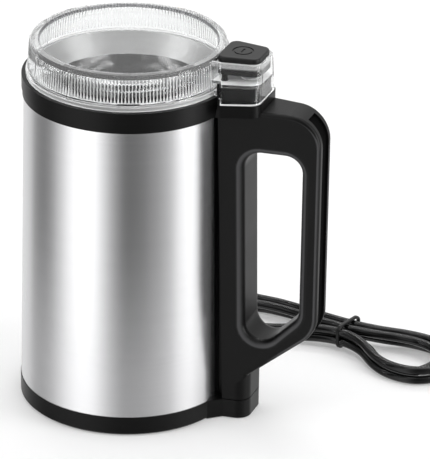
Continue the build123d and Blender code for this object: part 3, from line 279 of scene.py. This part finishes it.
# Each ring of the band, up its outside: height, distance off the wall, how far its crests stand out
RIB_RINGS = (
    (RIB_BOTTOM, -RIB_SINK, 0),
    (RIB_BOTTOM, RIB_LIFT, 0),
    (RIB_BOTTOM + RIB_TAPER, RIB_LIFT, RIB_PROUD),
    (RIB_TOP - RIB_TAPER, RIB_LIFT, RIB_PROUD),
    (RIB_TOP, RIB_LIFT, 0),
    (RIB_TOP, -RIB_SINK, 0),
)


def wall_radius(level):
    """Radius of the lid's drafted wall at a height."""
    share = (level - WALL_FOOT) / (WALL_TOP - WALL_FOOT)
    return WALL_FOOT_RADIUS + (WALL_TOP_RADIUS - WALL_FOOT_RADIUS) * share


def rib_ring(mesh, level, lift, proud):
    """Adds one ring of the band to a mesh, waved by the ribs."""
    count = RIB_COUNT * RIB_STEPS
    ring = []
    for step in range(count):
        crest = (1 + math.cos(2 * math.pi * step / RIB_STEPS)) / 2
        radius = wall_radius(level) + lift + proud * crest
        ring.append(mesh.verts.new(on_circle(radius, FULL_TURN * step / count, level)))
    return ring


rib_mesh = bmesh.new()
rib_rings = [rib_ring(rib_mesh, *row) for row in RIB_RINGS]
for row, ring in enumerate(rib_rings):
    above = rib_rings[(row + 1) % len(rib_rings)]
    for step in range(len(ring)):
        after = (step + 1) % len(ring)
        side = rib_mesh.faces.new((ring[step], ring[after], above[after], above[step]))
        side.smooth = True
bmesh.ops.recalc_face_normals(rib_mesh, faces=rib_mesh.faces)
rib_data = bpy.data.meshes.new("lid_ribs")
rib_mesh.to_mesh(rib_data)
rib_mesh.free()
lid_ribs = add_object("lid_ribs", rib_data)
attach(lid_ribs, "lid_body")
lid_ribs.visible_shadow = False

# Noise in the materials: how many finer layers it has
NOISE_DETAIL = 4.0


class Graph:
    """A node tree, with short calls to add and join nodes."""

    def __init__(self, tree):
        self.tree = tree

    def add(self, kind, **settings):
        """A new node with these settings."""
        node = self.tree.nodes.new(kind)
        for key, value in settings.items():
            setattr(node, key, value)
        return node

    def join(self, source, target):
        """Joins a node's output to an input."""
        self.tree.links.new(source, target)

    def feed(self, value, target):
        """Gives an input its value: a node's output, a number or a colour."""
        if isinstance(value, bpy.types.NodeSocket):
            self.join(value, target)
        else:
            target.default_value = value

    def maths(self, operation, *values):
        """A maths operation on one or two values, each a node's output or a number."""
        node = self.add("ShaderNodeMath", operation=operation)
        for value, target in zip(values, node.inputs):
            self.feed(value, target)
        return node.outputs["Value"]

    def times(self, total, *others):
        """All the values multiplied."""
        for other in others:
            total = self.maths("MULTIPLY", total, other)
        return total

    def most(self, total, *others):
        """The largest of the values."""
        for other in others:
            total = self.maths("MAXIMUM", total, other)
        return total

    def less(self, value):
        """1 less a value."""
        return self.maths("SUBTRACT", 1.0, value)

    def span(self, value, start, end, low, high, interpolation):
        """A value mapped from one range to another."""
        node = self.add("ShaderNodeMapRange", interpolation_type=interpolation)
        limits = {"From Min": start, "From Max": end, "To Min": low, "To Max": high}
        for name, limit in limits.items():
            node.inputs[name].default_value = limit
        self.join(value, node.inputs["Value"])
        return node.outputs["Result"]

    def between(self, value, low, high):
        """A value from 0 to 1 mapped evenly to a range."""
        return self.span(value, 0, 1, low, high, "LINEAR")

    def rise(self, value, start, width, low=0.0, high=1.0):
        """Low before a start, rising smoothly to high over a width."""
        return self.span(value, start, start + width, low, high, "SMOOTHSTEP")

    def fall(self, value, start, width):
        """1 before a start, falling smoothly to 0 over a width."""
        return self.less(self.rise(value, start, width))

    def band(self, value, low, high, fade):
        """1 between two values, with a soft end to each side."""
        return self.times(self.rise(value, low, fade), self.fall(value, high, fade))

    def mix(self, factor, first, second):
        """Two colours mixed by a value."""
        node = self.add("ShaderNodeMix", data_type="RGBA")
        self.join(factor, node.inputs["Factor"])
        self.feed(first, node.inputs["A"])
        self.feed(second, node.inputs["B"])
        return node.outputs["Result"]

    def blend(self, factor, first, second):
        """Two shaders mixed by a value."""
        node = self.add("ShaderNodeMixShader")
        for value, target in zip((factor, first, second), node.inputs):
            self.join(value, target)
        return node.outputs["Shader"]

    def split(self, vector):
        """A vector's X, Y and Z."""
        node = self.add("ShaderNodeSeparateXYZ")
        self.join(vector, node.inputs["Vector"])
        return node.outputs

    def place(self):
        """The point on the object, in its own metres."""
        return self.add("ShaderNodeTexCoord").outputs["Object"]

    def facing(self):
        """The surface's normal."""
        return self.add("ShaderNodeNewGeometry").outputs["Normal"]

    def reach(self, vector):
        """A vector's length."""
        node = self.add("ShaderNodeVectorMath", operation="LENGTH")
        self.join(vector, node.inputs[0])
        return node.outputs["Value"]

    def from_axis(self):
        """The point's distance from the body axis."""
        node = self.add("ShaderNodeVectorMath", operation="MULTIPLY")
        node.inputs[1].default_value = (1, 1, 0)
        self.join(self.place(), node.inputs[0])
        return self.reach(node.outputs["Vector"])

    def shown(self, rays):
        """1 for what the camera sees, straight or through clear pieces."""
        return self.maths("MAXIMUM", rays["Is Camera Ray"], rays["Is Transmission Ray"])


class Shader(Graph):
    """A material's nodes, with calls for its main shader."""

    def __init__(self, name):
        self.material = bpy.data.materials.new(name)
        self.material.use_nodes = True
        super().__init__(self.material.node_tree)
        self.surface = self.tree.nodes["Principled BSDF"]
        self.output = self.tree.nodes["Material Output"]
        self.colour = None

    def set(self, **values):
        """Sets sockets of the main shader, with _ for the spaces in their names."""
        for key, value in values.items():
            self.surface.inputs[key.replace("_", " ")].default_value = value

    def drive(self, name, value):
        """Joins a node's output to a socket of the main shader."""
        self.join(value, self.surface.inputs[name])

    def noise(self, scale=1.0, stretch=(1, 1, 1)):
        """Noise over the object's own metres, to a scale and stretched by axis."""
        mapping = self.add("ShaderNodeMapping")
        mapping.inputs["Scale"].default_value = stretch
        self.join(self.place(), mapping.inputs["Vector"])
        node = self.add("ShaderNodeTexNoise")
        node.inputs["Scale"].default_value = scale
        node.inputs["Detail"].default_value = NOISE_DETAIL
        self.join(mapping.outputs["Vector"], node.inputs["Vector"])
        return node.outputs["Fac"]

    def colours(self, value, low, high):
        """Colours the surface from one colour to another by a value, and keeps that colour."""
        ramp = self.add("ShaderNodeValToRGB")
        ramp.color_ramp.elements[0].color = (*low, 1)
        ramp.color_ramp.elements[1].color = (*high, 1)
        self.join(value, ramp.inputs["Fac"])
        self.colour = ramp.outputs["Color"]
        self.drive("Base Color", self.colour)

    def bump(self, value, strength, depth):
        """Bump from a value, joined to the surface's normal."""
        node = self.add("ShaderNodeBump")
        node.inputs["Strength"].default_value = strength
        node.inputs["Distance"].default_value = depth
        self.join(value, node.inputs["Height"])
        self.drive("Normal", node.outputs["Normal"])


# Moulded plastic: clouds in its colour and gloss, and fine grain
CLOUD_SCALE = 70
GRAIN_SCALE = 2600
GRAIN_STRENGTH = 0.35
GRAIN_DEPTH = 0.00002
PLAIN_GLOSS = 0.5

# Metal: fine marks, with how many there are to the metre along each axis
MARKS = (400, 400, 400)
MARK_STRENGTH = 0.25
MARK_DEPTH = 0.00002

# Clear plastic: a little flow in its surface
CLEAR_INDEX = 1.22
CLEAR_TINT = (0.985, 0.99, 0.99)
FLOW_SCALE = 160
FLOW_ROUGHNESS = (0.0, 0.03)
FLOW_STRENGTH = 0.1
FLOW_DEPTH = 0.0001


def grey(value):
    """A grey colour."""
    return (value, value, value)


def moulded(name, dark, light, rough, gloss=PLAIN_GLOSS, grain=GRAIN_SCALE, depth=GRAIN_DEPTH):
    """Moulded plastic or rubber: fine grain, a little cloud in its colour and its gloss."""
    shader = Shader(name)
    cloud = shader.noise(CLOUD_SCALE)
    shader.colours(cloud, dark, light)
    shader.drive("Roughness", shader.between(cloud, *rough))
    shader.bump(shader.noise(grain), GRAIN_STRENGTH, depth)
    shader.set(Specular_IOR_Level=gloss)
    return shader


def metal(name, dark, light, rough, marks=MARKS, depth=MARK_DEPTH):
    """Plain metal with fine marks in its gloss and surface."""
    shader = Shader(name)
    marking = shader.noise(stretch=marks)
    shader.colours(marking, dark, light)
    shader.drive("Roughness", shader.between(marking, *rough))
    shader.bump(marking, MARK_STRENGTH, depth)
    shader.set(Metallic=1.0)
    return shader


def see_through(name):
    """Clear plastic with a little flow in its gloss and surface."""
    shader = Shader(name)
    shader.set(IOR=CLEAR_INDEX)
    flow = shader.noise(FLOW_SCALE)
    shader.drive("Roughness", shader.between(flow, *FLOW_ROUGHNESS))
    shader.bump(flow, FLOW_STRENGTH, FLOW_DEPTH)
    return shader


# The looks of the plain materials, by the record's slots
PLASTICS = {
    "black_plastic": dict(dark=grey(0.004), light=grey(0.006), rough=(0.30, 0.40), gloss=0.13),
    "button_plastic": dict(dark=grey(0.006), light=grey(0.009), rough=(0.34, 0.44), gloss=0.22),
    "inlay_rubber": dict(dark=grey(0.002), light=grey(0.003), rough=(0.70, 0.85), gloss=0.02),
    "inner_plastic": dict(dark=(0.20, 0.20, 0.21), light=(0.27, 0.27, 0.28), rough=(0.40, 0.55)),
    "white_plastic": dict(dark=(0.72, 0.72, 0.70), light=(0.82, 0.82, 0.80), rough=(0.40, 0.55)),
    "black_rubber": dict(dark=grey(0.004), light=grey(0.007), rough=(0.30, 0.40), gloss=0.25),
    "carbon": dict(dark=(0.03, 0.03, 0.032), light=(0.06, 0.06, 0.062), rough=(0.60, 0.75)),
    "cord_vinyl": dict(
        dark=grey(0.003),
        light=grey(0.005),
        rough=(0.17, 0.22),
        gloss=0.30,
        grain=900,
        depth=0.000001,
    ),
}
METALS = {
    "cup_steel": dict(
        dark=grey(0.58),
        light=grey(0.64),
        rough=(0.03, 0.07),
        marks=(8, 8, 500),
        depth=0.000003,
    ),
    "liner_steel": dict(dark=grey(0.27), light=grey(0.34), rough=(0.34, 0.46), marks=(40, 40, 400)),
    "screw_steel": dict(dark=(0.45, 0.45, 0.46), light=(0.60, 0.60, 0.62), rough=(0.25, 0.40)),
    "core_steel": dict(
        dark=(0.26, 0.26, 0.27),
        light=(0.40, 0.40, 0.41),
        rough=(0.40, 0.55),
        marks=(3, 3, 1600),
    ),
    "copper_wire": dict(
        dark=(0.50, 0.22, 0.10),
        light=(0.68, 0.36, 0.18),
        rough=(0.25, 0.40),
        marks=(4, 4, 1200),
    ),
    "bush_bronze": dict(dark=(0.50, 0.36, 0.17), light=(0.64, 0.48, 0.24), rough=(0.35, 0.50)),
    "blade_steel": dict(dark=(0.68, 0.68, 0.69), light=(0.82, 0.82, 0.83), rough=(0.12, 0.22)),
    "pin_brass": dict(dark=(0.68, 0.52, 0.24), light=(0.80, 0.64, 0.34), rough=(0.15, 0.28)),
}

# Brushed steel of the sleeve, with brush lines that run round it
BRUSH_ANISOTROPY = 0.5
steel = metal(
    "brushed_steel",
    dark=(0.70, 0.70, 0.71),
    light=(0.80, 0.80, 0.81),
    rough=(0.19, 0.25),
    marks=(5, 5, 2200),
    depth=0.000006,
)
tangent = steel.add("ShaderNodeTangent", direction_type="RADIAL", axis="Z")
steel.drive("Tangent", tangent.outputs["Tangent"])
steel.set(Anisotropic=BRUSH_ANISOTROPY)

# Handle plastic with a painted highlight: its base colour is lighter where its front and back turn over
# into the rounded edges
# The painted highlight lies between two shares of the normal that point to the front or back
PAINTED_HIGHLIGHT_COLOUR = (0.07, 0.07, 0.072, 1)
HIGHLIGHT_START = 0.55
HIGHLIGHT_START_FADE = 0.4
HIGHLIGHT_END = 0.93
HIGHLIGHT_END_FADE = 0.065
UPWARD_START = 0.1
UPWARD_FADE = 0.2
UPWARD_LEVEL = 0.13
UPWARD_LEVEL_FADE = 0.005
FOOT_LEVEL = 0.03
FOOT_FADE = 0.01
handle = moulded("handle_plastic", **PLASTICS["black_plastic"])
handle_facing = handle.split(handle.facing())
handle_level = handle.split(handle.place())["Z"]
sideways = handle.maths("ABSOLUTE", handle_facing["Y"])
turned_up = handle.times(
    handle.rise(handle_facing["Z"], UPWARD_START, UPWARD_FADE),
    handle.rise(handle_level, UPWARD_LEVEL, UPWARD_LEVEL_FADE),
)
# Mask of the painted highlight on the handle's rounded edges, kept off edges that face up above the
# opening and off the foot
painted_highlight = handle.times(
    handle.fall(sideways, HIGHLIGHT_END, HIGHLIGHT_END_FADE),
    handle.rise(sideways, HIGHLIGHT_START, HIGHLIGHT_START_FADE),
    handle.less(turned_up),
    handle.rise(handle_level, FOOT_LEVEL, FOOT_FADE),
)
handle.drive("Base Color", handle.mix(painted_highlight, handle.colour, PAINTED_HIGHLIGHT_COLOUR))

# Clear plastic: frosted along the housing's cut edges, on its shelf, on the lid's flange and rim
# The rim's inside is painted darker: a painted shade on its inner wall
FROSTED = 0.3
EDGE_FADE = 0.0001
FROST_LOW = 0.1605
FROST_HIGH = 0.1785
HIGH_FROST_SHARE = 0.45
SHELF_LOW = 0.1688
SHELF_HIGH = 0.1692
SHELF_FLATNESS = 0.5
SHELF_FLATNESS_FADE = 0.3
RIM_LEVEL = 0.1760
RIM_FADE = 0.0006
RIM_INSIDE = 0.0405
RIM_FROST_SHARE = 0.22
RIM_FOOT = 0.1770
RIM_RADIUS = 0.0414
RIM_PAINTED_SHADE = (0.2, 0.2, 0.21)
FLANGE_TOP = 0.1637
FLANGE_FOOT = 0.1617
FLANGE_INSIDE = 0.0456
FLANGE_OUTSIDE = 0.0473
FLANGE_FROST_SHARE = 0.5
clear = see_through("clear_plastic")
height = clear.split(clear.place())["Z"]
outward = clear.from_axis()
flatness = clear.maths("ABSOLUTE", clear.split(clear.facing())["Z"])
low_edge = clear.fall(height, FROST_LOW, EDGE_FADE)
high_edge = clear.times(clear.rise(height, FROST_HIGH, EDGE_FADE), HIGH_FROST_SHARE)
rim = clear.times(
    clear.rise(height, RIM_LEVEL, RIM_FADE),
    clear.maths("GREATER_THAN", outward, RIM_INSIDE),
    RIM_FROST_SHARE,
)
flange = clear.times(
    clear.band(height, FLANGE_FOOT, FLANGE_TOP, EDGE_FADE),
    clear.maths("GREATER_THAN", outward, FLANGE_INSIDE),
    clear.maths("LESS_THAN", outward, FLANGE_OUTSIDE),
    FLANGE_FROST_SHARE,
)
shelf = clear.times(
    clear.band(height, SHELF_LOW, SHELF_HIGH, EDGE_FADE),
    clear.rise(flatness, SHELF_FLATNESS, SHELF_FLATNESS_FADE),
)
frost = clear.most(low_edge, high_edge, rim, flange, shelf)
clear.drive("Transmission Weight", clear.between(frost, 1.0, FROSTED))
# Painted shade: a darker grey base colour on the rim's inner wall
rim_painted_shade = clear.times(
    clear.maths("LESS_THAN", outward, RIM_RADIUS),
    clear.rise(height, RIM_FOOT, EDGE_FADE),
)
clear.colours(rim_painted_shade, CLEAR_TINT, RIM_PAINTED_SHADE)

# The lid's fine ribs: the same plastic, paler along their crests
CREST_START = 0.4
CREST_FADE = 0.6
CREST_CLEARNESS = 0.66
ribs = see_through("clear_ribs")
ribs.set(Base_Color=(*CLEAR_TINT, 1))
rib_place = ribs.split(ribs.place())
rib_angle = ribs.maths("ARCTAN2", rib_place["Y"], rib_place["X"])
rib_wave = ribs.maths("COSINE", ribs.times(rib_angle, RIB_COUNT))
crests = ribs.rise(rib_wave, CREST_START, CREST_FADE)
ribs.drive("Transmission Weight", ribs.between(crests, 1.0, CREST_CLEARNESS))

# Every node takes the finish of its slot, and the handle its own plastic with the painted highlight on its
# edges
finishes = {name: moulded(name, **look).material for name, look in PLASTICS.items()}
finishes.update({name: metal(name, **look).material for name, look in METALS.items()})
finishes["sleeve_steel"] = steel.material
finishes["clear_plastic"] = clear.material
for subpart in frame["record"]["subparts"]:
    node = nodes[subpart["node"]]
    node.data.materials.clear()
    node.data.materials.append(finishes[subpart["material_slot"]])
nodes["handle_shell"].data.materials[0] = handle.material
nodes["lid"].visible_shadow = False
cord.data.materials.append(finishes["cord_vinyl"])
lid_ribs.data.materials.append(ribs.material)
spring.data.materials.append(finishes["screw_steel"])

# Floor: pale, keeps the shadow, glows white to the camera far out and thins out in reflections
FLOOR_HALF = 3.0
FLOOR_CORNERS = ((-1, -1), (1, -1), (1, 1), (-1, 1))
FLOOR_COLOUR = (*grey(0.82), 1)
FLOOR_ROUGHNESS = 0.8
FLOOR_SHADE = (*grey(0.67), 1)
NEAR_GLOW = 0.27
GLOW_START = 0.35
GLOW_WIDTH = 0.85
NEAR_THINNESS = 0.62
THIN_START = 0.05
THIN_WIDTH = 0.25
floor_mesh = bpy.data.meshes.new("floor")
floor_mesh.from_pydata(
    [(x * FLOOR_HALF, y * FLOOR_HALF, 0) for x, y in FLOOR_CORNERS],
    [],
    [(0, 1, 2, 3)],
)
floor = add_object("floor", floor_mesh)
paint = Shader("floor_paint")
paint.set(Base_Color=FLOOR_COLOUR, Roughness=FLOOR_ROUGHNESS)
floor_rays = paint.add("ShaderNodeLightPath").outputs
floor_reach = paint.reach(paint.place())
glow = paint.add("ShaderNodeEmission")
paint.join(paint.rise(floor_reach, GLOW_START, GLOW_WIDTH, NEAR_GLOW), glow.inputs["Strength"])
shade = paint.add("ShaderNodeBsdfDiffuse")
shade.inputs["Color"].default_value = FLOOR_SHADE
white = paint.add("ShaderNodeAddShader")
paint.join(glow.outputs["Emission"], white.inputs[0])
paint.join(shade.outputs["BSDF"], white.inputs[1])
plain = paint.blend(paint.shown(floor_rays), paint.surface.outputs["BSDF"], white.outputs["Shader"])
thinness = paint.rise(floor_reach, THIN_START, THIN_WIDTH, NEAR_THINNESS)
through = paint.add("ShaderNodeBsdfTransparent")
faded = paint.blend(paint.times(thinness, floor_rays["Is Glossy Ray"]), plain, through.outputs["BSDF"])
paint.join(faded, paint.output.inputs["Surface"])
floor.data.materials.append(paint.material)

# World: white to the camera, and a studio of soft panels round the object in reflections
PLAIN_SKY = (*grey(0.5), 1)
WHITE = (*grey(1.0), 1)

# Each stop of the studio: angle about Z in degrees, brightness
STUDIO = (
    (-180, 0.25),
    (-170, 0.22),
    (-160, 0.33),
    (-147, 0.75),
    (-134, 1.30),
    (-120, 1.65),
    (-106, 1.60),
    (-95, 0.95),
    (-84, 0.42),
    (-72, 0.13),
    (-54, 0.20),
    (-38, 0.36),
    (-22, 0.58),
    (-8, 1.30),
    (5, 1.60),
    (15, 1.15),
    (27, 0.75),
    (40, 0.65),
    (75, 1.15),
    (110, 1.00),
    (142, 0.90),
    (158, 0.80),
    (170, 0.35),
    (180, 0.25),
)
world = bpy.data.worlds.new("studio")
scene.world = world
world.use_nodes = True
sky = Graph(world.node_tree)
sky_way = sky.split(sky.add("ShaderNodeTexCoord").outputs["Generated"])
sky_angle = sky.maths("ARCTAN2", sky_way["Y"], sky_way["X"])
ramp = sky.add("ShaderNodeValToRGB")
ramp.color_ramp.interpolation = "EASE"
sky.join(sky.span(sky_angle, -math.pi, math.pi, 0, 1, "LINEAR"), ramp.inputs["Fac"])
stops = ramp.color_ramp.elements
for degrees, _ in STUDIO[1:-1]:
    stops.new((degrees + HALF_TURN) / FULL_TURN)
for stop, (_, brightness) in zip(stops, STUDIO):
    stop.color = (*grey(brightness), 1)
sky_rays = sky.add("ShaderNodeLightPath").outputs
sky_light = sky.mix(sky_rays["Is Glossy Ray"], PLAIN_SKY, ramp.outputs["Color"])
sky_colour = sky.mix(sky.shown(sky_rays), sky_light, WHITE)
sky.join(sky_colour, sky.tree.nodes["Background"].inputs["Color"])
scene.view_settings.view_transform = "Standard"


def panel(name, place, aim, width, height, watts):
    """A soft area lamp that looks at a point."""
    lamp = bpy.data.lights.new(name, "AREA")
    lamp.shape = "RECTANGLE"
    lamp.size = width
    lamp.size_y = height
    lamp.energy = watts
    aim_at(add_object(name, lamp), place, aim)


# Lamps
BODY_MIDDLE = (0, 0, 0.1)
panel("top_panel", place=(0.1, 0.1, 1.3), aim=BODY_MIDDLE, width=1.2, height=1.2, watts=7)
panel("strip_light", place=(-0.35, 0.95, 1.35), aim=(0.05, 0, 0.08), width=1.2, height=0.03, watts=5)
panel("left_panel", place=(-1.0, -0.9, 0.8), aim=BODY_MIDDLE, width=0.7, height=1.0, watts=6)
panel("right_panel", place=(1.3, 0.0, 0.9), aim=BODY_MIDDLE, width=0.7, height=1.0, watts=5)
panel("edge_panel", place=(1.0, -0.05, 0.12), aim=(0.07, 0, 0.1), width=0.3, height=0.5, watts=5)

bpy.context.view_layer.update()
